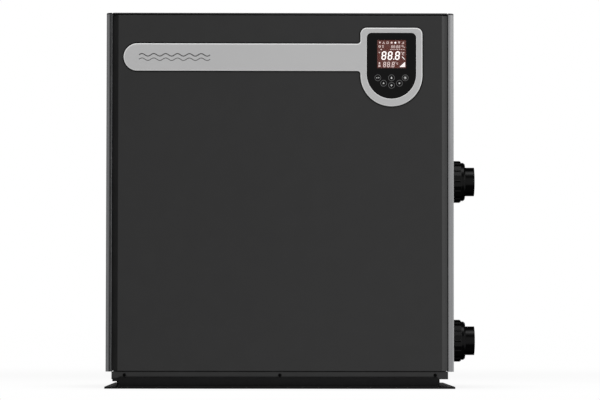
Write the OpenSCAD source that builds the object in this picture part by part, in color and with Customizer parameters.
// Pool heat pump, rear-discharge cabinet type.
// Frame: +X towards the water unions, -Y towards the user, +Z up.
// Origin: floor level, centre of the four foot bolt holes.
// All sizes in millimetres.

/* [Cabinet] */
// Width over the corner posts
cab_w = 700; // [700:1:704]
// Height from the floor to the top of the lid
cab_h = 755; // [755:1:762]
// Width of the base pan and of the front panel
pan_w = 675; // [673:1:675]
// Front face of the front panel, distance in front of the origin
front_y = 184; // [184:1:186]
// Outer face of the rear panel, distance behind the origin
rear_y = 190; // [190:1:192]
// Sheet thickness of the cabinet panels
sheet = 1.2; // [1:0.1:1.4]
// Width of the sloping bevel down each side of the front panel
bevel_w = 5.5; // [4:0.5:7]
// Width of the border outside the bevel
border_w = 6; // [5:0.5:7]

/* [Feet] */
// Front-to-back length of the foot rails
foot_d = 429; // [425:1:440]
// Height of the foot frame under the base pan
foot_h = 22; // [22:1:22]
// Thickness of the foot angle steel
foot_t = 4; // [3:0.5:4]
// Foot bolt holes: spacing across the unit
bolt_x = 674; // [672:1:676]
// Width of the outward flange under the left side
flange_l = 23; // [20:0.5:24]
// Width of the outward flange under the right side
flange_r = 29.5; // [20:0.5:30]
// Foot bolt holes: spacing front to back
bolt_y = 340; // [300:5:360]
// Radius of the foot bolt holes
bolt_r = 5; // [4.5:0.5:6]

/* [Front trim] */
// Height of the light band across the front
band_h = 55.2; // [50:0.2:60]
// Height of the band's centre line above the floor
band_z = 665.4; // [664:0.1:670]
// Left end of the band
band_x0 = -315; // [-320:1:-280]
// Thickness of the band where it stands on the panel
band_t = 3; // [2.5:0.5:4]
// Centre of the controller across the unit
ctl_x = 223.8; // [222:0.1:226]
// Half width of the controller surround
surround_r = 62.4; // [60:0.1:64]
// Half width of the touch glass
glass_r = 49.8; // [48:0.1:50]

/* [Water unions] */
// Height of the upper union, water outlet
union_hi = 421.5; // [420:0.5:428]
// Height of the lower union, water inlet
union_lo = 95; // [94:0.5:100]
// Front-to-back place of both unions
union_y = -38; // [-40:1:-36]
// Inside radius of the solvent socket for 50 mm pipe
socket_r = 25.1; // [25:0.1:25.3]
// Depth of the solvent socket
socket_l = 28; // [24:1:28]
// Outside radius of the union nut over its corners
nut_r = 43; // [42:0.1:43.2]

/* [Fan] */
// Fan centre across the unit
fan_x = -86; // [-87:1:-85]
// Fan centre above the floor
fan_z = 395; // [385:5:405]
// Tip radius of the fan
fan_r = 190; // [180:1:191]
// Number of fan blades
blades = 5; // [3:1:6]
// Rings in the fan guard
guard_rings = 15; // [10:1:16]

/* [Evaporator] */
// Lowest point of the coil
coil_z0 = 66; // [66:1:70]
// Highest point of the coil
coil_z1 = 728; // [700:1:730]
// Thickness of the coil block
coil_t = 25; // [24:1:25]

/* [Hidden] */
$fn = 48;

// Cabinet planes
half_w = cab_w / 2;
pan_half = pan_w / 2;
front = -front_y;
rear = rear_y;
pan_front = front + 2;
pan_rear = rear - 2;
body_z = 33.5;                   // lowest point of the cabinet panels
lid_z = cab_h - 3;               // underside of the lid plate
sheet_top = lid_z - 0.6;         // top of the side and rear sheets
pan_t = 1.5;                     // sheet thickness of the base pan
tray_z = foot_h + pan_t;         // upper face of the base pan's floor
lip_z0 = foot_h - 3.5;           // lower edge of the pan's lip
post_d = 36;                     // front-to-back size of a post
side_x = half_w - 4;             // outer face of the side panels
side_y0 = pan_front + post_d + 1;   // front edge of the side panels
side_y1 = pan_rear - post_d - 1;    // rear edge of the side panels

// Places of the parts inside, [x, y]
exchanger_xy = [262, union_y];
compressor_xy = [210, 103];
accumulator_xy = [302, 98];
drain_xy = [-200, 60];
stud_xy = [for (a = [0, 120, 240]) compressor_xy + 70 * [cos(a), sin(a)]];
spout_z = 10.75;                 // height of the condensate spout
partition_x = 124;
front_wall_y = -129;             // front wall of the compressor space

// Casing screws
screw_hole_r = 2;
lip_screw_x = [-311.7, 0, 311.7];
lip_screw_y = [-120, 120];
lip_screw_z = 26.8;
side_screw_yz = [for (y = [-138, 142]) for (z = [52, 737]) [y, z]];

// Colours
panel_grey = [0.20, 0.20, 0.205];
dark_grey = [0.08, 0.08, 0.085];
trim_grey = [0.66, 0.66, 0.66];
post_grey = [0.50, 0.51, 0.52];
copper = [0.72, 0.42, 0.27];
steel = [0.62, 0.63, 0.65];
black = [0.05, 0.05, 0.05];
brass = [0.76, 0.62, 0.32];
board_green = [0.10, 0.32, 0.18];
screw_black = [0.1, 0.1, 0.1];

// ---------- helpers ----------
function unit(v) = v / norm(v);
function perpendicular(v) =
  abs(v[2]) < 0.9 ? unit(cross([0, 0, 1], v)) : unit(cross([1, 0, 0], v));
function lift(xy, z) = [xy[0], xy[1], z];
// Four corner indices as two triangles
function quad(a, b, c, d) = [[a, b, c], [a, c, d]];
function arc(x, y, radius, from, to, steps = 12) =
  [for (i = [0:steps]) let (a = from + (to - from) * i / steps)
    [x + radius * cos(a), y + radius * sin(a)]];

// Places children in the frame with axes x, y, z and the given origin
module basis(x, y, z, origin)
  multmatrix([[x[0], y[0], z[0], origin[0]], [x[1], y[1], z[1], origin[1]],
              [x[2], y[2], z[2], origin[2]], [0, 0, 0, 1]]) children();
module both_sides() for (m = [0, 1]) mirror([m, 0, 0]) children();
// Mirrors children from the front of the cabinet to the rear
module at_rear() translate([0, rear + front, 0]) mirror([0, 1, 0]) children();
module cyl_x(radius, length, at = [0, 0, 0])
  translate(at) rotate([0, 90, 0]) cylinder(r = radius, h = length);
module cyl_y(radius, length, at = [0, 0, 0])
  translate(at) rotate([-90, 0, 0]) cylinder(r = radius, h = length);
module cyl_z(radius, length, at = [0, 0, 0])
  translate(at) cylinder(r = radius, h = length);
module box(low, high) translate(low) cube(high - low);
// Plate in the XZ plane, drawn as (x, z), its front face at y
module plate_xz(y, thickness)
  translate([0, y + thickness, 0]) rotate([90, 0, 0]) linear_extrude(thickness) children();
// Plate in the YZ plane, drawn as (y, z), its left face at x
module plate_yz(x, thickness)
  translate([x, 0, 0]) rotate([90, 0, 90]) linear_extrude(thickness) children();
module rect(left, low, right, high) translate([left, low]) square([right - left, high - low]);
// Round-ended slot centred on x, y
module slot(x, y, length, end_r) {
  reach = length / 2 - end_r;
  rect(x - reach, y - end_r, x + reach, y + end_r);
  for (s = [-1, 1]) translate([x + s * reach, y]) circle(end_r);
}

// Bent tube through a list of points; each bend is an elbow a little fatter than the tube
module pipe(points, radius, bend_r, elbow_extra = 0.35) {
  last = len(points) - 1;
  overlap = 1.5;     // length of tube inside each elbow
  function heading(i) = unit(points[i + 1] - points[i]);
  function is_end(i) = i == 0 || i == last;
  setback = [for (i = [0:last]) is_end(i) ? 0 :
    bend_r * tan(acos(heading(i - 1) * heading(i)) / 2)];
  trim = [for (i = [0:last]) is_end(i) ? 0 : setback[i] - overlap];
  union() {
    for (i = [0:last - 1]) {
      along = heading(i);
      across = perpendicular(along);
      basis(across, cross(along, across), along, points[i] + along * trim[i])
        cylinder(r = radius, h = norm(points[i + 1] - points[i]) - trim[i] - trim[i + 1]);
    }
    for (i = [1:last - 1]) {
      entry = heading(i - 1);
      exit = heading(i);
      inward = unit(exit - entry * (entry * exit));
      basis(-inward, entry, cross(-inward, entry),
            points[i] - entry * setback[i] + inward * bend_r)
        rotate_extrude(angle = acos(entry * exit))
          translate([bend_r, 0]) circle(radius + elbow_extra, $fn = 24);
    }
  }
}

// Pan-head screw, head on the origin plane, shank towards -Z
module screw(shank = 5.5) {
  cylinder(r = 3, h = 1.8);
  cyl_z(1.8, shank, [0, 0, -shank]);
}
module screw_front(at) translate(at) rotate([90, 0, 0]) screw();
module screw_rear(at, shank = 5.5) translate(at) rotate([-90, 0, 0]) screw(shank);
module screw_right(at) translate(at) rotate([0, 90, 0]) screw();
module screw_left(at) translate(at) rotate([0, -90, 0]) screw();

// Cutters through the right side panel and the rear panel
module side_cut() plate_yz(side_x - 3, 5) children();
module side_hole(radius, y, z) cyl_x(radius, 6, [side_x - 4, y, z]);
module rear_cut() plate_xz(rear - 3, 5) children();
module rear_hole(radius, x, z) cyl_y(radius, 6, [x, rear - 4, z]);

// ---------- foot frame ----------
rail_front = -foot_d / 2;
sill_back = rail_front + 31.5;   // inner face of the front sill's web

// Left rail: bolt flange outwards, top flange inwards
module foot_rail(flange, drain_hole) {
  web_x = -half_w + flange;
  inner_x = web_x + foot_t;
  difference() {
    union() {
      box([-half_w, rail_front, 0], [inner_x, foot_d / 2, foot_t]);
      box([web_x, rail_front + 34.3, foot_t], [inner_x, foot_d / 2 - 31, foot_h]);
      // lower front end of the web, run forward under the pan's lip to close the corner
      box([web_x, rail_front + 31.7, foot_t], [inner_x, rail_front + 35, lip_z0 - 0.4]);
      box([inner_x, rail_front + 34.5, foot_h - 3], [inner_x + 22, foot_d / 2 - 33, foot_h]);
    }
    for (s = [-1, 1]) cyl_z(bolt_r, foot_t + 2, [-bolt_x / 2, s * bolt_y / 2, -1]);
    // the condensate hose passes through here
    if (drain_hole) cyl_x(6.5, foot_t + 2, [web_x - 1, drain_xy[1], spout_z]);
  }
}
module foot_rails() {
  color(black) {
    foot_rail(flange_l, true);
    mirror([1, 0, 0]) foot_rail(flange_r, false);
  }
}

// Front sill, spans between the rails
module sill() {
  left = -half_w + flange_l + foot_t + 0.5;
  right = half_w - flange_r - foot_t - 0.5;
  end_gap = 23;
  step_z = foot_h - 6.8;
  union() {
    box([left, rail_front, 0], [right, sill_back, foot_t]);
    box([left, sill_back - foot_t, foot_t], [right, sill_back, foot_h]);
    // inward flange, joggled down under the pan's lip
    box([left + end_gap, sill_back, step_z], [right - end_gap, sill_back + 5, step_z + 3]);
    box([left + end_gap, sill_back + 3.2, step_z], [right - end_gap, sill_back + 20.5, foot_h]);
  }
}
module cross_sills() {
  color(black) {
    union() {
      sill();
      // tab at the left end
      box([-half_w + 14.5, sill_back - foot_t, 14.2],
          [-half_w + flange_l + foot_t + 1, rail_front + 30.6, 19.2]);
    }
    mirror([0, 1, 0]) sill();
  }
}

// ---------- base pan ----------
pan_top = 62;
lip_top = 33.4;
upstand_in = 4;                  // set-back of the upstand from the lip

// Block with its sides drawn in from the pan's outline
module pan_block(inset, low, high)
  box([-pan_half + inset, pan_front + inset, low], [pan_half - inset, pan_rear - inset, high]);
module base_pan() {
  color(panel_grey) difference() {
    union() {
      // visible lip, then an upstand set back behind the panels
      difference() {
        union() {
          pan_block(0, lip_z0, lip_top);
          pan_block(upstand_in, lip_top - 1, pan_top);
        }
        box([-pan_half + pan_t, pan_front + pan_t, lip_z0 - 1],
            [pan_half - pan_t, pan_rear + 1, foot_h]);
        pan_block(pan_t, tray_z, lip_top - pan_t);
        pan_block(upstand_in + pan_t, lip_top - 3, pan_top + 1);
      }
      for (p = stud_xy) cyl_z(4, 30, lift(p, foot_h + 1));
      // raised ribs that stiffen the fan side of the tray
      for (y = [-90, 0, 90]) box([-270, y - 6, foot_h + 1], [40, y + 6, tray_z + 4]);
    }
    cyl_z(8.3, 12, lift(drain_xy, foot_h - 2));
    for (x = lip_screw_x) for (y = [pan_front - 2, pan_rear - 6])
      cyl_y(screw_hole_r, 8, [x, y, lip_screw_z]);
    for (y = lip_screw_y) for (x = [pan_half - 5, -pan_half - 3])
      cyl_x(screw_hole_r, 8, [x, y, lip_screw_z]);
  }
}

// ---------- corner posts ----------
post_in = pan_half + 0.5;        // inner face of the posts

// Front right post in plan; its outer corner is rounded
module post_outline(inset = 0) {
  corner_d = 14;                 // front-to-back depth of the rounded corner
  union() {
    intersection() {
      translate([post_in, front + corner_d]) circle(12 - inset);
      rect(post_in + inset, front, half_w, front + corner_d + 0.01);
    }
    rect(post_in + inset, front + corner_d, half_w - inset, pan_front + post_d - inset);
  }
}
module post()
  translate([0, 0, body_z]) linear_extrude(lid_z - body_z) difference() {
    post_outline(0);
    post_outline(2);
  }
module post_cap()
  for (step = [[2.8, 1.8, 0], [1.05, 1.05, 0.8], [16, 13.5, 2.3]])   // depth, height, inset
    translate([0, 0, cab_h - step[0]]) linear_extrude(step[1]) post_outline(step[2]);
module post_caps() {
  color(black) both_sides() {
    post_cap();
    at_rear() post_cap();
  }
}
module corner_post_front_right() {
  color(post_grey) post();
}
module corner_post_front_left() {
  color(post_grey) mirror([1, 0, 0]) post();
}
module rear_corner_posts() {
  color(post_grey) both_sides() at_rear() post();
}

// ---------- side panels ----------
louvre_y = [side_y0 + 9, side_y1 - 9];
louvre_z = [72, 668];
louvre_count = 24;
cover_y = 76;                    // half width of the service opening
cover_z = [566, 660];
cover_screw_yz = [[-66, cover_z[0] - 5], [66, cover_z[0] - 5], [0, cover_z[1] + 5]];
gauge_y = 120;
gauge_z = 470;

// Right-hand flat side with an inward top flange
module side_sheet() {
  plate_yz(side_x - sheet, sheet) rect(side_y0, body_z, side_y1, sheet_top);
  box([side_x - 7, side_y0, sheet_top - sheet], [side_x - sheet, side_y1, sheet_top]);
}
// Handle opening and screw holes, the same on both sides
module side_openings() {
  side_cut() rect(-56, 688, 56, 722);
  for (p = side_screw_yz) side_hole(screw_hole_r, p[0], p[1]);
}
module left_side_panel() {
  color(panel_grey) mirror([1, 0, 0]) difference() {
    side_sheet();
    side_cut() rect(louvre_y[0], louvre_z[0], louvre_y[1], louvre_z[1]);
    side_openings();
  }
}
module intake_louvres() {
  fit = 0.4;
  rim = 5;
  low = [louvre_y[0] + fit, louvre_z[0] + fit];
  high = [louvre_y[1] - fit, louvre_z[1] - fit];
  pitch = (high[1] - low[1] - 2 * rim) / louvre_count;
  back_x = side_x - 13;          // inner edge of the slats
  edge_x = side_x + 0.4;         // outer edge of the slats
  color(dark_grey) mirror([1, 0, 0]) union() {
    difference() {
      box([side_x - 14, low[0], low[1]], [side_x + 0.8, high[0], high[1]]);
      box([side_x - 15, low[0] + rim, low[1] + rim],
          [side_x + 2, high[0] - rim, high[1] - rim]);
    }
    for (i = [0:louvre_count - 1])
      translate([0, low[0] + 4, 0]) rotate([-90, 0, 0]) linear_extrude(high[0] - low[0] - 8)
        let (z = low[1] + rim + pitch * (i + 0.5))
        polygon([[back_x, -z - 8.2], [back_x, -z - 6.4],
                 [edge_x, -z + 8.2], [edge_x, -z + 6.4]]);
    // upright bars behind the slats
    for (y = [-52, 55])
      box([side_x - 13.5, y - 1.5, low[1] + 4], [side_x - 4, y + 1.5, high[1] - 4]);
  }
}
module right_side_panel() {
  color(panel_grey) difference() {
    side_sheet();
    side_openings();
    for (z = [union_hi, union_lo]) side_hole(31, union_y, z);
    side_cut() rect(-cover_y, cover_z[0], cover_y, cover_z[1]);
    side_hole(26.4, gauge_y, gauge_z);
    // air slots into the space behind the front panel
    for (i = [0:22]) side_cut() slot(side_y0 + 13, 80 + i * 26.5, 16, 4);
    // ventilation slots of the compressor space
    for (i = [0:7]) for (y = [60, 122]) side_cut() slot(y, 200 + i * 14, 50, 2.5);
    for (p = cover_screw_yz) side_hole(screw_hole_r, p[0], p[1]);
  }
}
module handle_cup() {
  difference() {
    union() {
      plate_yz(side_x, 1.8) {
        slot(0, 705, 126, 22);
        rect(-41, 683, 41, 727);
      }
      box([side_x - 19, -55, 689], [side_x, 55, 721]);
    }
    difference() {
      box([side_x - 17, -53, 691], [side_x + 3, 53, 719]);
      // finger lip that hangs down inside the mouth
      box([side_x - 1, -53, 713], [side_x + 4, 53, 720]);
    }
  }
}
module carry_handles() {
  color(black) both_sides() handle_cup();
}

// ---------- rear panel ----------
bell_r = 196;                    // throat radius of the bell mouth
bell_y = 165;                    // where the bell mouth starts to flare
guard_r = 222;
guard_rim = 14;
guard_hub_r = 34;
gland_x = 270;
gland_z = 615;
// Screw places, [x, z]
rear_screws = [[-326, 60], [-326, 395], [-326, 730], [0, 736],
               [326, 60], [326, 395], [326, 730], [0, 50]];
guard_screws = [for (a = [45:90:315]) [fan_x + 214 * cos(a), fan_z + 214 * sin(a)]];

module rear_panel() {
  color(panel_grey) union() {
    difference() {
      plate_xz(rear - sheet, sheet) rect(-pan_half, body_z, pan_half, sheet_top);
      rear_hole(bell_r, fan_x, fan_z);
      for (p = concat(rear_screws, guard_screws)) rear_hole(screw_hole_r, p[0], p[1]);
      rear_hole(10.2, gland_x, gland_z);
      for (i = [0:9]) for (x = [205, 275]) rear_cut() slot(x, 110 + i * 14, 56, 2.5);
      for (i = [0:5]) rear_cut() slot(240, 650 + i * 12, 120, 2.5);
    }
    // rolled bell mouth around the fan
    translate([fan_x, 0, fan_z]) rotate([90, 0, 0]) rotate_extrude($fn = 96)
      polygon(concat(
        [[bell_r, -rear], [bell_r, -bell_y]],
        arc(bell_r + 10, -bell_y, 10, 180, 100, 8),
        arc(bell_r + 10, -bell_y, 8.8, 100, 180, 8),
        [[bell_r + 1.2, -rear + sheet], [bell_r + 3, -rear + sheet], [bell_r + 3, -rear]]));
  }
}
module fan_guard() {
  rim_in = guard_r - guard_rim;
  spoke_end = rim_in + 1;
  // height of the domed guard at a radius
  function dome(radius) = 8 + 8 * (1 - (radius / guard_r) * (radius / guard_r));
  color(black) translate([fan_x, rear, fan_z]) rotate([-90, 0, 0]) difference() {
    union() {
      difference() {
        cylinder(r = guard_r, h = 7, $fn = 96);
        translate([0, 0, -1]) cylinder(r = rim_in, h = 9, $fn = 96);
      }
      for (i = [1:guard_rings])
        let (ring_r = guard_hub_r + (rim_in - guard_hub_r) * i / (guard_rings + 1))
        rotate_extrude($fn = 96)
          rect(ring_r - 1.3, dome(ring_r) - 4.5, ring_r + 1.3, dome(ring_r));
      // spokes
      for (a = [0:30:330])
        rotate([0, 0, a]) rotate([90, 0, 0]) translate([0, 0, -1.4]) linear_extrude(2.8)
          polygon(concat(
            [[30, dome(30) - 7], [spoke_end, 0], [spoke_end, dome(spoke_end) - 1]],
            [for (k = [0:8]) let (x = spoke_end - (spoke_end - 30) * k / 8)
              [x, dome(x) - 0.8]]));
      cylinder(r = guard_hub_r, h = dome(0) + 1);
    }
    cyl_z(31, dome(0) - 1, [0, 0, -1]);
    for (p = guard_screws) cyl_z(2.1, 10, [p[0] - fan_x, fan_z - p[1], -1]);
  }
}

// ---------- evaporator ----------
// The coil is an L in plan: a leg along the front, a leg along the left side
coil_left = -322;
coil_front = -128;
coil_right = 100;
coil_back = 138;
coil_bend_r = 80;                // outer radius of the corner
tube_last = 25;                  // index of the highest tube
tube_pitch = (coil_z1 - coil_z0 - 28) / tube_last;
tube_stagger = 12.5;             // distance between the two rows of tubes
function tube_z(i) = coil_z0 + 14 + i * tube_pitch;
// Depth of a tube behind the coil's outer face
function tube_depth(i) = 6.2 + tube_stagger * (i % 2);

module evaporator_fins() {
  x = coil_left + coil_bend_r;
  y = coil_front + coil_bend_r;
  color([0.45, 0.55, 0.66]) translate([0, 0, coil_z0]) linear_extrude(coil_z1 - coil_z0)
    polygon(concat([[coil_right, coil_front], [coil_right, coil_front + coil_t]],
      arc(x, y, coil_bend_r - coil_t, 270, 180, 16),
      [[coil_left + coil_t, coil_back], [coil_left, coil_back]],
      arc(x, y, coil_bend_r, 180, 270, 16)));
}
module evaporator_end_plates() {
  low = tray_z + 0.2;
  high = coil_z1 + 4;
  hole_r = 5.1;
  color(steel) {
    difference() {
      union() {
        box([coil_right, coil_front - 3, low],
            [coil_right + 1.5, coil_front + coil_t + 3, high]);
        box([coil_right - 9, coil_front - 3, low], [coil_right + 1, coil_front - 1.6, high]);
      }
      for (i = [0:tube_last])
        cyl_x(hole_r, 5, [coil_right - 1, coil_front + tube_depth(i), tube_z(i)]);
    }
    difference() {
      union() {
        box([coil_left - 3, coil_back, low], [coil_left + coil_t + 3, coil_back + 1.5, high]);
        box([coil_left - 3, coil_back - 9, low], [coil_left - 1.6, coil_back + 1, high]);
      }
      for (i = [0:tube_last])
        cyl_y(hole_r, 5, [coil_left + tube_depth(i), coil_back - 1, tube_z(i)]);
    }
  }
}
// Hairpin bend: legs start at X = 0, spaced along Z
module hairpin(spacing) {
  radius = 4.8;
  union() {
    for (k = [-1, 1]) cyl_x(radius, 4, [0, 0, k * spacing / 2]);
    translate([4, 0, 0]) rotate([90, 0, 0]) rotate([0, 0, -90])
      rotate_extrude(angle = 180) translate([spacing / 2, 0]) circle(radius);
  }
}
module evaporator_tubes() {
  spacing = norm([tube_pitch, tube_stagger]);
  tilt = atan2(tube_stagger, tube_pitch);
  mid = 12.45;                   // depth midway between the rows
  color(copper) {
    // rear end: tubes 0-1, 2-3 and so on
    for (i = [0:2:24])
      translate([coil_left + mid, coil_back + 0.1, tube_z(i + 0.5)])
        rotate([0, 0, 90]) rotate([tilt, 0, 0]) hairpin(spacing);
    // right-hand end: tubes 1-2, 3-4 and so on, leaving tubes 0 and 25 open for the lines
    for (i = [1:2:23])
      translate([coil_right + 0.1, coil_front + mid, tube_z(i + 0.5)])
        rotate([tilt, 0, 0]) hairpin(spacing);
  }
}

// ---------- inner walls ----------
return_y = -94.6;                // place of the line back from the top of the coil
return_z = 140;                  // height where that line crosses the partition

module partition_wall() {
  right = pan_half - 7;
  back = rear - 8.5;
  hole_x = partition_x - 2;
  color(steel) difference() {
    translate([0, 0, tray_z]) linear_extrude(lid_z - 15 - tray_z)
      polygon([[partition_x, back], [partition_x, front_wall_y], [right, front_wall_y],
               [right, front_wall_y + sheet], [partition_x + sheet, front_wall_y + sheet],
               [partition_x + sheet, back]]);
    cyl_x(5.6, 6, [hole_x, coil_front + tube_depth(0), tube_z(0)]);
    cyl_x(9, 6, [hole_x, return_y, return_z]);
    // opening for the heat sink
    box([hole_x, -62, 602], [partition_x + 4, 72, 692]);
    cyl_y(12, 6, [230, front_wall_y - 2, 540]);
  }
}

// ---------- fan and motor ----------
shaft_r = 6;
hub_bore_r = 6.02;
blade_rows = 12;                 // steps from root to tip
blade_cols = 12;                 // steps along the chord
blade_root_r = 52;

// Cylinder on the fan axis
module fan_cyl(radius, length, y) cyl_y(radius, length, [fan_x, y, fan_z]);
module around_fan(angle) translate([fan_x, 0, fan_z]) rotate([0, angle, 0]) children();

module motor_bracket() {
  low = tray_z + 4.1;
  high = lid_z - 16;
  rail_x = [fan_x - 72, fan_x + 72];
  color(steel) difference() {
    union() {
      for (x = rail_x) {
        box([x - 10, 12, low], [x + 10, 14, high]);
        for (edge = [x - 10, x + 10]) box([edge - 1, -6, low], [edge + 1, 13, high]);
      }
      box([fan_x - 82, 14, fan_z - 74], [fan_x + 82, 17, fan_z + 74]);
    }
    fan_cyl(18, 8, 10);
    for (z = [80:60:700]) for (x = rail_x)
      if (abs(z - fan_z) > 80) cyl_y(4, 6, [x, 10, z]);
  }
}
module motor_housing() {
  color(dark_grey) difference() {
    union() {
      fan_cyl(56, 85, 17);
      fan_cyl(62, 8, 17);
      fan_cyl(60.4, 6, 60);
      fan_cyl(24, 4, 102);
      // cooling ribs, then the four mounting lugs
      for (i = [0:23]) around_fan(7.5 + i * 15) box([-1, 24, 52], [1, 98, 59.4]);
      for (a = [45:90:315]) around_fan(a) box([-8, 17, 55], [8, 25, 76]);
    }
    fan_cyl(40, 50, 42);
    fan_cyl(16, 10.2, 32);
    fan_cyl(16, 10.2, 91.8);
    fan_cyl(8, 20, 98);
    for (a = [45:90:315]) around_fan(a) cyl_y(3.2, 12, [0, 16, 69]);
  }
}
module motor_bearings() {
  color(steel) for (y = [32, 92]) difference() {
    fan_cyl(15.97, 9.8, y);
    fan_cyl(6.05, 14, y - 2);
  }
}
module motor_shaft() {
  color(steel) union() {
    fan_cyl(shaft_r, 150, 33);
    fan_cyl(34, 46, 44);         // rotor
  }
}

// Point on a blade face: row i from the root, column j along the chord, face +1 or -1.
// Span and sweep are angles; depth is measured along the fan axis.
function blade_point(i, j, face) =
  let (out = i / blade_rows, chord = j / blade_cols,
    radius = blade_root_r + (fan_r - blade_root_r) * out,
    span = 56 - 6 * out,
    sweep = 24 * pow(out, 1.6),
    depth = 44 - 12 * out,
    a = sweep + (chord - 0.5) * span,
    thick = (3.4 - 1.4 * out) * (0.25 + 0.75 * sin(180 * min(1, chord * 0.9 + 0.08))),
    z = (chord - 0.5) * depth + 7 * sin(180 * chord) + face * thick / 2)
  [radius * cos(a), radius * sin(a), z];

// One blade as a closed skin: face 0 is the upper one, face 1 the lower
module blade() {
  rows = blade_rows;
  cols = blade_cols;
  function id(i, j, face) = (face * (rows + 1) + i) * (cols + 1) + j;
  points = [for (face = [1, -1]) for (i = [0:rows]) for (j = [0:cols])
    blade_point(i, j, face)];
  upper = [for (i = [0:rows - 1]) for (j = [0:cols - 1]) each
    quad(id(i, j, 0), id(i, j + 1, 0), id(i + 1, j + 1, 0), id(i + 1, j, 0))];
  lower = [for (i = [0:rows - 1]) for (j = [0:cols - 1]) each
    quad(id(i, j, 1), id(i + 1, j, 1), id(i + 1, j + 1, 1), id(i, j + 1, 1))];
  root = [for (j = [0:cols - 1]) each
    quad(id(0, j, 0), id(0, j, 1), id(0, j + 1, 1), id(0, j + 1, 0))];
  tip = [for (j = [0:cols - 1]) each
    quad(id(rows, j, 0), id(rows, j + 1, 0), id(rows, j + 1, 1), id(rows, j, 1))];
  first_edge = [for (i = [0:rows - 1]) each
    quad(id(i, 0, 0), id(i + 1, 0, 0), id(i + 1, 0, 1), id(i, 0, 1))];
  last_edge = [for (i = [0:rows - 1]) each
    quad(id(i, cols, 0), id(i, cols, 1), id(i + 1, cols, 1), id(i + 1, cols, 0))];
  polyhedron(points = points, faces = concat(upper, lower, root, tip, first_edge, last_edge));
}
module fan_impeller() {
  color(dark_grey) translate([fan_x, 150, fan_z]) rotate([-90, 0, 0]) union() {
    difference() {
      union() {
        cyl_z(58, 46, [0, 0, -26]);
        translate([0, 0, 20]) cylinder(r1 = 58, r2 = 50, h = 5);
      }
      cyl_z(54, 40, [0, 0, -27]);
      cyl_z(hub_bore_r, 70, [0, 0, -30]);
    }
    difference() {
      cyl_z(14, 36, [0, 0, -22]);
      cyl_z(hub_bore_r, 70, [0, 0, -30]);
    }
    for (k = [0:7]) rotate([0, 0, k * 45]) box([13, -1, -18], [55, 1, 14]);
    difference() {
      for (k = [0:blades - 1]) rotate([0, 0, k * 360 / blades]) blade();
      cyl_z(56, 80, [0, 0, -40]);
    }
  }
}
module fan_nut() {
  color(steel) translate([fan_x, 175.1, fan_z]) rotate([-90, 0, 0]) difference() {
    union() {
      cylinder(r = 10.5, h = 7, $fn = 6);
      cylinder(r = 12, h = 1.6);
    }
    cyl_z(hub_bore_r, 10, [0, 0, -1]);
  }
}

// ---------- refrigerant circuit ----------
discharge_stub = [-20, -7];      // from the compressor axis
wide_stub = [-17, -18];          // on the exchanger lid, from the exchanger axis
narrow_stub = [-42, 20];
valve_at = [222, 128, 455];      // reversing valve
valve_port = 30;                 // spacing of its lower ports
expansion_xy = [165, -20];

module compressor() {
  low = 44;
  high = 322;
  radius = 60;
  color(black) translate(lift(compressor_xy, 0)) difference() {
    union() {
      rotate_extrude() polygon(concat([[0, low], [30, low]],
        arc(radius - 14, low + 14, 14, 270, 360, 6),
        arc(radius - 26, high - 14, 26, 0, 70, 8), [[0, high + 12]]));
      // welded foot plate with three lugs
      translate([0, 0, 40]) difference() {
        union() {
          cylinder(r = 52, h = 4);
          for (a = [0, 120, 240]) rotate([0, 0, a]) {
            box([30, -15, 0], [70, 15, 4]);
            cyl_z(15, 4, [70, 0, 0]);
          }
        }
        for (a = [0, 120, 240]) rotate([0, 0, a]) cyl_z(5, 7, [70, 0, -1]);
      }
      // weld bands, terminal cover and discharge stub
      for (z = [92, 270]) cyl_z(radius + 1.2, 5, [0, 0, z]);
      cyl_z(22, 26, [14, 4, high + 2]);
      cyl_z(7.5, 22, lift(discharge_stub, high - 4));
      cyl_x(8, 12, [radius - 6, -5, 72]);
    }
    cyl_z(54, high - 64, [0, 0, 54]);
  }
}
module compressor_grommets() {
  color([0.12, 0.12, 0.12]) for (p = stud_xy) translate(lift(p, tray_z)) difference() {
    union() {
      cylinder(r = 12, h = 7);
      cyl_z(10, 3, [0, 0, 7]);
      cyl_z(12, 6.4, [0, 0, 10]);
    }
    cyl_z(4.3, 20, [0, 0, -1]);
  }
}
module suction_accumulator() {
  color(black) union() {
    translate(lift(accumulator_xy, 0)) difference() {
      rotate_extrude() polygon(concat([[0, 98], [8, 98]], arc(22, 112, 8, 250, 360, 6),
        [[30, 280]], arc(22, 280, 8, 0, 80, 6), [[8, 296], [8, 306], [0, 306]]));
      cyl_z(27, 160, [0, 0, 114]);
    }
    cyl_z(31.5, 18, lift(accumulator_xy, 180));
    cyl_z(8, 12, lift(accumulator_xy, 88));
    // block between the strap and the compressor
    translate([compressor_xy[0] + 61.5, compressor_xy[1] - 9, 182]) cube([12, 14, 14]);
  }
}
module reversing_valve() {
  color(brass) translate(valve_at) union() {
    cyl_x(13, 92, [-46, 0, 0]);
    for (s = [-1, 1]) cyl_x(14.5, 5, [s * 43.5 - 2.5, 0, 0]);
    cyl_z(6.5, 26);
    for (k = [-1:1]) cyl_z(8, 26, [k * valve_port, 0, -26]);
    // block behind the body, with two thin tubes to its ends
    box([-14, 12, -12], [14, 40, 12]);
    cyl_y(4, 12, [0, 38, 0]);
    for (s = [-1, 1])
      pipe([[s * 8, 24, 10], [s * 8, 24, 24], [s * 41, 24, 24], [s * 41, 4, 24],
            [s * 41, 4, 10]], 1.2, 4, 0.25);
  }
}
module expansion_valve() {
  color(brass) translate(lift(expansion_xy, 0)) union() {
    cyl_z(8, 44, [0, 0, 428]);
    cyl_z(17, 20, [0, 0, 440]);
    cyl_z(10, 5, [0, 0, 430]);
    box([-6, -24, 444], [6, -12, 456]);
  }
}
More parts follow.
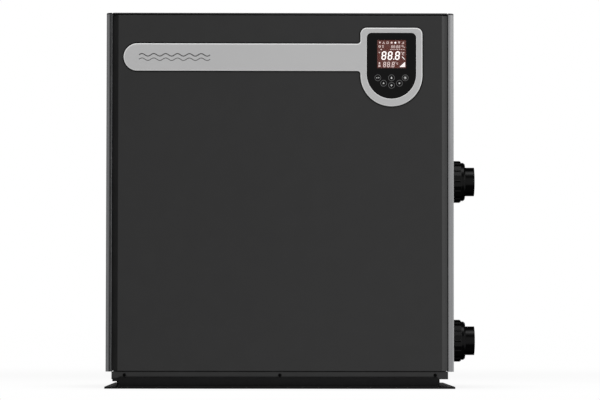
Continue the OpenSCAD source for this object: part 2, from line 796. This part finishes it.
module refrigerant_pipes() {
  tube_x = coil_right + 1.7;
  low_y = coil_front + tube_depth(0);
  low_z = tube_z(0);
  high_y = coil_front + tube_depth(tube_last);
  high_z = tube_z(tube_last);
  discharge = compressor_xy + discharge_stub;
  wide = exchanger_xy + wide_stub;
  narrow = exchanger_xy + narrow_stub;
  stub_z = 474.2;                // just above the exchanger's stubs
  riser_x = 113.5;
  left_x = 150;                  // right of the partition
  color(copper) {
    // discharge: compressor to reversing valve
    pipe([lift(discharge, 340.2), lift(discharge, 522), valve_at + [0, 0, 67],
          valve_at + [0, 0, 26.2]], 4.8, 12);
    // suction: reversing valve to accumulator
    pipe([valve_at + [0, 0, -26.2], valve_at + [0, 0, -63], lift(accumulator_xy, 392),
          lift(accumulator_xy, 306.2)], 6.4, 18);
    // accumulator to compressor
    pipe([lift(accumulator_xy, 87.8), lift(accumulator_xy, 72),
          [276.2, accumulator_xy[1], 72]], 5, 9);
    // reversing valve to heat exchanger
    pipe([valve_at + [valve_port, 0, -26.2], [252, 128, 408], [252, 54, 408],
          [252, 54, 506], lift(wide, 506), lift(wide, stub_z)], 6.4, 14);
    // heat exchanger to expansion valve
    pipe([lift(narrow, stub_z), lift(narrow, 524), lift(expansion_xy, 524),
          lift(expansion_xy, 472.2)], 4, 12);
    // expansion valve to the bottom of the evaporator
    pipe([lift(expansion_xy, 427.8), lift(expansion_xy, low_z),
          [expansion_xy[0], low_y, low_z], [tube_x, low_y, low_z]], 4, 12);
    // top of the evaporator to reversing valve
    pipe([[tube_x, high_y, high_z], [riser_x, high_y, high_z], [riser_x, return_y, high_z],
          [riser_x, return_y, return_z], [left_x, return_y, return_z], [left_x, return_y, 340],
          [left_x, 22, 340], [left_x, 22, 404], [left_x, 128, 404], [192, 128, 404],
          valve_at + [-valve_port, 0, -26.2]], 5.5, 7);
  }
}

// ---------- heat exchanger ----------
switch_dx = 38;                  // flow switch, to the right of the exchanger axis
water_r = 21;                    // bore of the water way

module exchanger_shell() {
  color([0.16, 0.16, 0.17]) translate(lift(exchanger_xy, 0)) difference() {
    union() {
      cyl_z(73, 406, [0, 0, 64]);
      cyl_z(76, 14, [0, 0, 64]);
      cyl_z(77, 12, [0, 0, 456]);
      for (z = [union_hi, union_lo]) cyl_x(30, 76, [0, 0, z]);
      for (a = [15:30:345]) rotate([0, 0, a]) box([70, -4, 77], [76.4, 4, 84]);
      // support feet down to the pan
      for (a = [45:90:315]) rotate([0, 0, a]) box([50, -9, tray_z], [66, 9, 66]);
      cyl_z(10, 6, lift(wide_stub, 468));
      cyl_z(8, 6, lift(narrow_stub, 468));
    }
    cyl_z(68, 392, [0, 0, 70]);
    for (z = [union_hi, union_lo]) cyl_x(water_r, 80, [20, 0, z]);
    cyl_z(9.2, 50, [switch_dx, 0, 440]);
  }
}
// Helix swept as a skin of rings
module titanium_coil() {
  coil_r = 46;
  wire_r = 6;
  pitch = 24;
  turns = 12;
  turn_steps = 24;
  ring_steps = 10;
  base_z = 100;
  last = turns * turn_steps;
  rise = atan2(pitch, 2 * PI * coil_r);
  function ring(i) =
    let (a = i * 360 / turn_steps,
      centre = [coil_r * cos(a), coil_r * sin(a), base_z + pitch * i / turn_steps],
      outward = [cos(a), sin(a), 0],
      upward = [sin(a) * sin(rise), -cos(a) * sin(rise), cos(rise)])
    [for (j = [0:ring_steps - 1]) let (b = j * 360 / ring_steps)
      centre + wire_r * cos(b) * outward + wire_r * sin(b) * upward];
  skin = [for (i = [0:last - 1]) for (j = [0:ring_steps - 1])
    let (a = i * ring_steps + j, b = i * ring_steps + (j + 1) % ring_steps)
    each quad(a, b, b + ring_steps, a + ring_steps)];
  start_cap = [for (j = [ring_steps - 1:-1:0]) j];
  end_cap = [for (j = [0:ring_steps - 1]) last * ring_steps + j];
  color([0.6, 0.6, 0.62]) translate(lift(exchanger_xy, 0))
    polyhedron(points = [for (i = [0:last]) each ring(i)],
               faces = concat(skin, [start_cap], [end_cap]));
}

// ---------- water unions ----------
body_x0 = exchanger_xy[0] + 76.2;   // inner end of the union bodies
groove_x = 364.6;                // floor of the seal groove
tail_x0 = 368.2;                 // inner end of the union tails
tail_x1 = tail_x0 + 3.1 + socket_l;

// Cylinder on the axis of the union at height z
module union_cyl(radius, length, x, z) cyl_x(radius, length, [x, union_y, z]);
module union_body(z) {
  difference() {
    union() {
      union_cyl(30, 14, body_x0, z);
      union_cyl(38, 5, side_x + 0.4, z);
      union_cyl(33, 16, 351.5, z);
    }
    union_cyl(water_r, 40, body_x0 - 1.2, z);
    difference() {
      union_cyl(29.3, 5, groove_x, z);
      union_cyl(25.7, 5, groove_x, z);
    }
  }
}
module union_bodies() {
  color(black) {
    union_body(union_hi);
    union_body(union_lo);
  }
}
module union_seals() {
  color([0.1, 0.1, 0.1]) for (z = [union_hi, union_lo])
    translate([groove_x + 1.7, union_y, z]) rotate([0, 90, 0])
      rotate_extrude() translate([27.5, 0]) circle(1.6, $fn = 24);
}
module union_tail(z) {
  color(black) difference() {
    union() {
      union_cyl(32.8, 3.8, tail_x0, z);
      union_cyl(29.4, tail_x1 - tail_x0, tail_x0, z);
    }
    union_cyl(water_r, 20, tail_x0 - 2, z);
    union_cyl(socket_r, socket_l + 5, tail_x1 - socket_l, z);
  }
}
module union_nut(z) {
  rib_r = 2.2;
  color(black) translate([0, union_y, z]) rotate([0, 90, 0]) difference() {
    union() {
      translate([0, 0, 354]) rotate([0, 0, 15]) cylinder(r = nut_r, h = 17.5, $fn = 12);
      cyl_z(39.3, 5.5, [0, 0, 371.5]);
      translate([0, 0, 377]) cylinder(r1 = 39.3, r2 = 36.8, h = 3);
      // grip ribs around the nut
      for (a = [0:30:330]) rotate([0, 0, a]) cyl_z(rib_r, 14.5, [nut_r - rib_r, 0, 355.5]);
    }
    cyl_z(33.4, 19.4, [0, 0, 353]);
    cyl_z(29.9, 12, [0, 0, 370]);
  }
}
module upper_union_tail() {
  union_tail(union_hi);
}
module lower_union_tail() {
  union_tail(union_lo);
}
module upper_union_nut() {
  union_nut(union_hi);
}
module lower_union_nut() {
  union_nut(union_lo);
}

// ---------- flow switch ----------
switch_at = lift(exchanger_xy, 0) + [switch_dx, 0, 0];
pivot_z = 446;                   // height of the paddle's pivot

module flow_switch() {
  color([0.15, 0.15, 0.16]) translate(switch_at) difference() {
    union() {
      cyl_z(9, 26, [0, 0, 452]);
      translate([0, 0, 470.2]) cylinder(r = 14, h = 8, $fn = 6);
      box([-17, -13, 478], [17, 13, 520]);
      cyl_y(4, 12, [0, 12, 500]);
      // ears that hold the pivot
      for (y = [-7.4, 7.4]) box([-3.5, y - 1.1, 441], [3.5, y + 1.1, 453]);
    }
    cyl_y(1.55, 30, [0, -15, pivot_z]);
  }
}
module flow_paddle() {
  color(steel) translate(switch_at) union() {
    cyl_y(1.5, 17, [0, -8.5, pivot_z]);
    cyl_y(2.8, 10, [0, -5, pivot_z]);
    box([-0.6, -5, 424], [0.6, 5, pivot_z]);
    box([-0.6, -13, 405], [0.6, 13, 426]);
  }
}

// ---------- electrics ----------
board_z = 580;                   // underside of the inverter board

module electrical_box() {
  left = 130;
  right = 318;
  near = front_wall_y + 5;
  far = 172;
  low = 560;
  high = 700;
  wall = 1.2;
  color(steel) difference() {
    box([left, near, low], [right, far, high]);
    box([left + wall, near + wall, low + wall], [right - wall, far - wall, high + 1]);
    box([right - 3, -70, 574], [right + 2, 70, 655]);
    box([left - 2, -64, 602], [left + 3, 74, 692]);
    cyl_y(12, 8, [gland_x, far - 4, gland_z]);
    cyl_z(10, 6, [300, -80, low - 2]);
    cyl_z(10, 6, [150, 140, low - 2]);
  }
}
module inverter_board() {
  // Blocks on the board: left, front, right, back, height above the board's underside
  blocks = [[236, 96, 270, 140, 30], [144, -90, 176, -40, 22], [186, -84, 214, -60, 16],
            [222, -84, 250, -60, 16], [200, -46, 240, -6, 5]];
  base = board_z + 1;
  color(board_green) union() {
    box([136, -100, board_z], [280, 150, board_z + 1.6]);
    for (x = [156, 194, 232]) cyl_z(17, 48, [x, 60, base]);
    for (x = [160, 208]) cyl_z(19, 24, [x, 118, base]);
    for (b = blocks) box([b[0], b[1], base], [b[2], b[3], board_z + b[4]]);
    // row of connectors
    for (i = [0:4]) box([186 + i * 17, -98, base], [198 + i * 17, -90, board_z + 11]);
    for (x = [142, 274]) for (y = [-94, 144]) cyl_z(3, 19, [x, y, board_z - 18.8]);
    // power module against the heat sink
    box([131.5, -50, base], [140, 60, board_z + 100]);
  }
}
module heat_sink() {
  color(steel) union() {
    box([124.4, -56, 606], [131.4, 66, 688]);
    box([118, -70, 596], [123.9, 80, 698]);
    box([120, -56, 606], [126, 66, 688]);
    for (i = [0:13]) box([84, -59 + i * 10, 602], [118.5, -57 + i * 10, 692]);
  }
}
module terminal_block() {
  color([0.82, 0.80, 0.74]) difference() {
    box([288, -60, 561.4], [308, 60, 596]);
    for (i = [0:9]) let (y = -52 + i * 11.6) {
      box([298, y - 4, 584], [309, y + 4, 597]);
      cyl_z(2.6, 12, [293, y, 588]);
    }
  }
}
// Round and hexagonal pieces on the cable gland's axis
module gland_cyl(radius, length, y) cyl_y(radius, length, [gland_x, y, gland_z]);
module gland_hex(radius, length, y)
  translate([gland_x, y, gland_z]) rotate([-90, 0, 0]) cylinder(r = radius, h = length, $fn = 6);
module cable_gland_body() {
  color(black) difference() {
    union() {
      gland_cyl(9, 29, 176);
      gland_hex(15, 5.5, rear + 0.1);
      gland_hex(14, 4.5, rear - sheet - 4.6);
    }
    gland_cyl(6.5, 40, 170);
  }
}
module gland_nut() {
  color(black) difference() {
    union() {
      gland_hex(14, 9, 196);
      translate([gland_x, 205, gland_z]) rotate([-90, 0, 0]) cylinder(r1 = 12, r2 = 9, h = 5);
    }
    gland_cyl(9.15, 10, 195.5);
    gland_cyl(6.5, 12, 202);
  }
}

// ---------- pressure gauge ----------
// Cylinder on the gauge axis, starting outwards of the side panel's face by offset
module gauge_cyl(radius, length, offset)
  cyl_x(radius, length, [side_x + offset, gauge_y, gauge_z]);
module gauge_case() {
  color(black) difference() {
    union() {
      gauge_cyl(26, 22, -19);
      gauge_cyl(31, 3, 0.1);
      gauge_cyl(6, 12, -30);
    }
    gauge_cyl(24, 10, -4);
    gauge_cyl(1.25, 6, -8);
  }
}
module gauge_lens() {
  color([0.8, 0.85, 0.9, 0.4]) gauge_cyl(23.95, 1.4, 1);
}
module gauge_needle() {
  color("firebrick") union() {
    gauge_cyl(1.2, 6, -7.5);
    gauge_cyl(3.2, 1.6, -2.4);
    // points to the zero mark, lower left seen from outside
    translate([side_x - 2, gauge_y, gauge_z]) rotate([-45, 0, 0])
      plate_yz(0, 0.7) polygon([[-1.6, 5], [-0.4, -19], [0.4, -19], [1.6, 5]]);
  }
}

// ---------- drain ----------
module drain_elbow() {
  color(black) translate(lift(drain_xy, 0)) difference() {
    union() {
      cyl_z(8, 20, [0, 0, 5]);
      cyl_z(12, 2, [0, 0, foot_h - 2.4]);
      cyl_z(9.6, 2, [0, 0, tray_z + 0.2]);
      cyl_x(5.5, 42, [-44, 0, spout_z]);
      // barbs on the spout
      for (x = [-19.5, -14])
        translate([x, 0, spout_z]) rotate([0, 90, 0]) cylinder(r1 = 5.5, r2 = 6.1, h = 3);
    }
    cyl_z(5.5, 20, [0, 0, 11]);
    cyl_x(3.8, 46, [-46, 0, spout_z]);
  }
}

// ---------- fixed screws ----------
// Flanged nut on a compressor stud
module stud_nut() {
  difference() {
    union() {
      cylinder(r = 9, h = 1.5);
      translate([0, 0, 1.5]) cylinder(r = 7.2, h = 6, $fn = 6);
    }
    cyl_z(4.02, 10, [0, 0, -1]);
  }
}
module casing_screws() {
  color(screw_black) {
    for (x = lip_screw_x) {
      screw_front([x, pan_front, lip_screw_z]);
      screw_rear([x, pan_rear, lip_screw_z]);
    }
    for (y = lip_screw_y) {
      screw_right([pan_half, y, lip_screw_z]);
      screw_left([-pan_half, y, lip_screw_z]);
    }
    for (p = side_screw_yz) {
      screw_right([side_x, p[0], p[1]]);
      screw_left([-side_x, p[0], p[1]]);
    }
    for (p = rear_screws) screw_rear([p[0], rear, p[1]]);
    for (p = guard_screws) screw_rear([p[0], rear + 7, p[1]], 12);
    for (p = stud_xy) translate(lift(p, 44.2)) stud_nut();
  }
}

// ---------- front panel group ----------
window_w = 92;                   // controller opening in the front panel
window_z = [590, 708];
surround_top = 725.3;
surround_z = 629.1;              // centre of the surround's round lower end
surround_corner = 13;
glass_top = 715.1;
glass_z = 631.9;                 // centre of the glass's round lower end
glass_corner = 10;

module front_panel() {
  low = 35;
  high = lid_z - 2;
  edge_x = pan_half - 0.7;
  border_x = pan_half - 0.5 - border_w;
  face_x = border_x - bevel_w;
  border_y = front + 2;
  edge_y = front + 3.2;
  return_back = front + 17;
  color(panel_grey) difference() {
    union() {
      // pressed face, bevelled back to a narrow sloping border on each side
      translate([0, 0, low]) linear_extrude(high - low)
        polygon([
          [-edge_x, edge_y], [-border_x, border_y], [-face_x, front],
          [face_x, front], [border_x, border_y], [edge_x, edge_y],
          [edge_x, edge_y + sheet], [border_x - 0.3, border_y + sheet],
          [face_x - 0.3, front + sheet], [0.3 - face_x, front + sheet],
          [0.3 - border_x, border_y + sheet], [-edge_x, edge_y + sheet]]);
      // side and top returns
      for (s = [-1, 1]) translate([s * (edge_x - sheet / 2), 0, 66]) linear_extrude(high - 66)
        rect(-sheet / 2, front + 3.6, sheet / 2, return_back);
      box([-edge_x, front + 3.4, high - sheet], [edge_x, return_back, high]);
      box([-face_x, front + 0.4, high - sheet], [face_x, front + 4, high]);
      // strip along the lower edge
      box([-face_x + 2, front + sheet / 2, low], [face_x - 2, front + 1.9, low + sheet]);
    }
    plate_xz(front - 1, 6)
      rect(ctl_x - window_w / 2, window_z[0], ctl_x + window_w / 2, window_z[1]);
    for (x = [-280, -140, 0, 120]) cyl_y(2.1, 6, [x, front - 1, band_z]);
  }
}
// Glass outline, grown by extra: flat top with rounded corners, half round below
module glass_outline(extra = 0) {
  radius = glass_r + extra;
  corner = glass_corner + extra;
  corner_z = glass_top + extra - corner;
  polygon(concat(arc(ctl_x, glass_z, radius, 180, 360, 48),
                 arc(ctl_x + radius - corner, corner_z, corner, 0, 90, 10),
                 arc(ctl_x - radius + corner, corner_z, corner, 90, 180, 10)));
}
// Band with a round left end, filleted into the controller surround
module trim_outline(inset = 0) {
  half = band_h / 2 - inset;
  fillet = 6;
  left = ctl_x - surround_r + inset;
  corner = surround_corner - inset;
  corner_z = surround_top - surround_corner;
  polygon(concat(
    arc(band_x0 + band_h / 2, band_z, half, 270, 90, 24),
    arc(left - fillet, band_z + half + fillet, fillet, 270, 360, 6),
    arc(left + corner, corner_z, corner, 180, 90, 10),
    arc(ctl_x + surround_r - surround_corner, corner_z, corner, 90, 0, 10),
    arc(ctl_x, surround_z, surround_r - inset, 0, -180, 48),
    arc(left - fillet, band_z - half - fillet, fillet, 0, 90, 6)));
}
module trim_band() {
  edge = 0.8;                    // step around the band's front edge
  color(trim_grey) difference() {
    union() {
      plate_xz(front - band_t + edge, band_t - edge) trim_outline(0);
      plate_xz(front - band_t, edge) trim_outline(edge);
    }
    plate_xz(front - band_t - 1, band_t + 2) glass_outline();
    plate_xz(front - band_t - 1, 2.2) glass_outline(1);
  }
}
module touch_glass() {
  color([0.03, 0.03, 0.035]) plate_xz(front - 2.2, 2) glass_outline(-0.25);
}
module display_module() {
  color([0.30, 0.12, 0.10]) union() {
    box([195, front + 2, 643.8], [253.2, front + 8, 700.6]);
    box([190, front + 4, 640], [258, front + 8, 705]);
    box([197.5, front, 646], [250.8, front + 3, 698.5]);
  }
}
module controller_board() {
  // Round pads towards the glass, [x, z]
  pads = [[196.4, 624.3], [223.9, 624.3], [251.5, 624.3],
          [208, 613.3], [223.9, 609.2], [239.8, 613.3]];
  color(board_green) union() {
    box([184, front + 8.4, 594], [264, front + 10, 705]);
    for (p = pads) translate([p[0], front + 9, p[1]]) rotate([90, 0, 0])
      cylinder(r = 4.6, h = 8.4, $fn = 24);
    box([200, front + 9.5, 597], [222, front + 16, 604]);
    box([210, front + 9.5, 640], [240, front + 12, 670]);
  }
}
module controller_housing() {
  color(black) difference() {
    union() {
      box([180, front + 1.4, 587.6], [268, front + 24, 709.6]);
      box([172, front + sheet + 0.1, 583], [276, front + 3, 716]);
    }
    box([182.5, front, 592.5], [265.5, front + 21.5, 706.5]);
    box([204, front + 17, 586], [218, front + 21, 595]);
  }
}

// ---------- lid ----------
lid_screw_xy = [for (x = [-300, 0, 300]) for (y = [front + 11, rear - 9]) [x, y]];

// Lid in plan: wider between the corner posts
module lid_plan(inset) {
  narrow = pan_half - inset;
  wide = side_x + 0.8 - inset;
  near = front + inset;
  far = rear - inset;
  near_step = side_y0 - 0.6 + inset;
  far_step = side_y1 + 0.6 - inset;
  polygon([[-narrow, near], [narrow, near], [narrow, near_step], [wide, near_step],
           [wide, far_step], [narrow, far_step], [narrow, far], [-narrow, far],
           [-narrow, far_step], [-wide, far_step], [-wide, near_step], [-narrow, near_step]]);
}
module top_lid() {
  rim_x = pan_half - 3;
  color(panel_grey) difference() {
    union() {
      for (layer = [[0, 1.4, 0], [1.4, 0.8, 0.5], [2.2, 0.8, 1.4]])   // height, thickness, inset
        translate([0, 0, lid_z + layer[0]]) linear_extrude(layer[1]) lid_plan(layer[2]);
      // rim that hangs down inside the cabinet
      difference() {
        box([-rim_x, front + 21, lid_z - 14], [rim_x, rear - 20, lid_z + 0.5]);
        box([-rim_x + 1.2, front + 22.2, lid_z - 15], [rim_x - 1.2, rear - 21.2, lid_z]);
      }
    }
    for (p = lid_screw_xy) {
      cyl_z(2.1, 10, lift(p, lid_z - 2));
      translate(lift(p, lid_z + 1.2)) cylinder(r1 = 2.1, r2 = 4.2, h = 1.85);
    }
  }
}
module lid_screws() {
  color(screw_black) for (p = lid_screw_xy) translate(lift(p, lid_z)) union() {
    translate([0, 0, 1.3]) cylinder(r1 = 2.0, r2 = 3.9, h = 1.6);
    cylinder(r = 1.8, h = 1.4);
  }
}

// ---------- service cover ----------
cover_x = side_x + 0.1;          // inner face of the cover
cover_t = 1.6;                   // thickness of its flange

module service_cover() {
  low = cover_z[0];
  high = cover_z[1];
  color(panel_grey) difference() {
    union() {
      plate_yz(cover_x, cover_t) rect(-cover_y - 8, low - 10, cover_y + 8, high + 10);
      plate_yz(cover_x + cover_t, 1.4) rect(-cover_y - 4, low + 2, cover_y + 4, high - 2);
      // locating rim that enters the opening
      difference() {
        box([cover_x - 6, -cover_y + 1, low + 1], [cover_x + 0.2, cover_y - 1, high - 1]);
        box([cover_x - 7, -cover_y + 2.2, low + 2.2],
            [cover_x + 0.1, cover_y - 2.2, high - 2.2]);
      }
    }
    for (p = cover_screw_yz) cyl_x(screw_hole_r, 8, [cover_x - 2, p[0], p[1]]);
    // finger scoop
    box([cover_x + 1.4, -30, low + 8], [cover_x + 4, 30, low + 20]);
  }
}
module service_cover_screws() {
  color(screw_black)
    for (p = cover_screw_yz) screw_right([cover_x + cover_t, p[0], p[1]]);
}

// ---------- assembly ----------
base_pan();
foot_rails();
cross_sills();
post_caps();
corner_post_front_left();
corner_post_front_right();
rear_corner_posts();
left_side_panel();
intake_louvres();
right_side_panel();
rear_panel();
fan_guard();
carry_handles();
partition_wall();
evaporator_fins();
evaporator_end_plates();
evaporator_tubes();
motor_bracket();
motor_housing();
motor_bearings();
compressor();
compressor_grommets();
suction_accumulator();
reversing_valve();
expansion_valve();
refrigerant_pipes();
exchanger_shell();
titanium_coil();
union_bodies();
union_seals();
flow_switch();
electrical_box();
inverter_board();
heat_sink();
terminal_block();
cable_gland_body();
gauge_case();
gauge_lens();
casing_screws();
front_panel();
trim_band();
touch_glass();
display_module();
controller_board();
controller_housing();
top_lid();
lid_screws();
service_cover();
service_cover_screws();
fan_impeller();
motor_shaft();
fan_nut();
flow_paddle();
upper_union_tail();
upper_union_nut();
lower_union_tail();
lower_union_nut();
gland_nut();
gauge_needle();
drain_elbow();
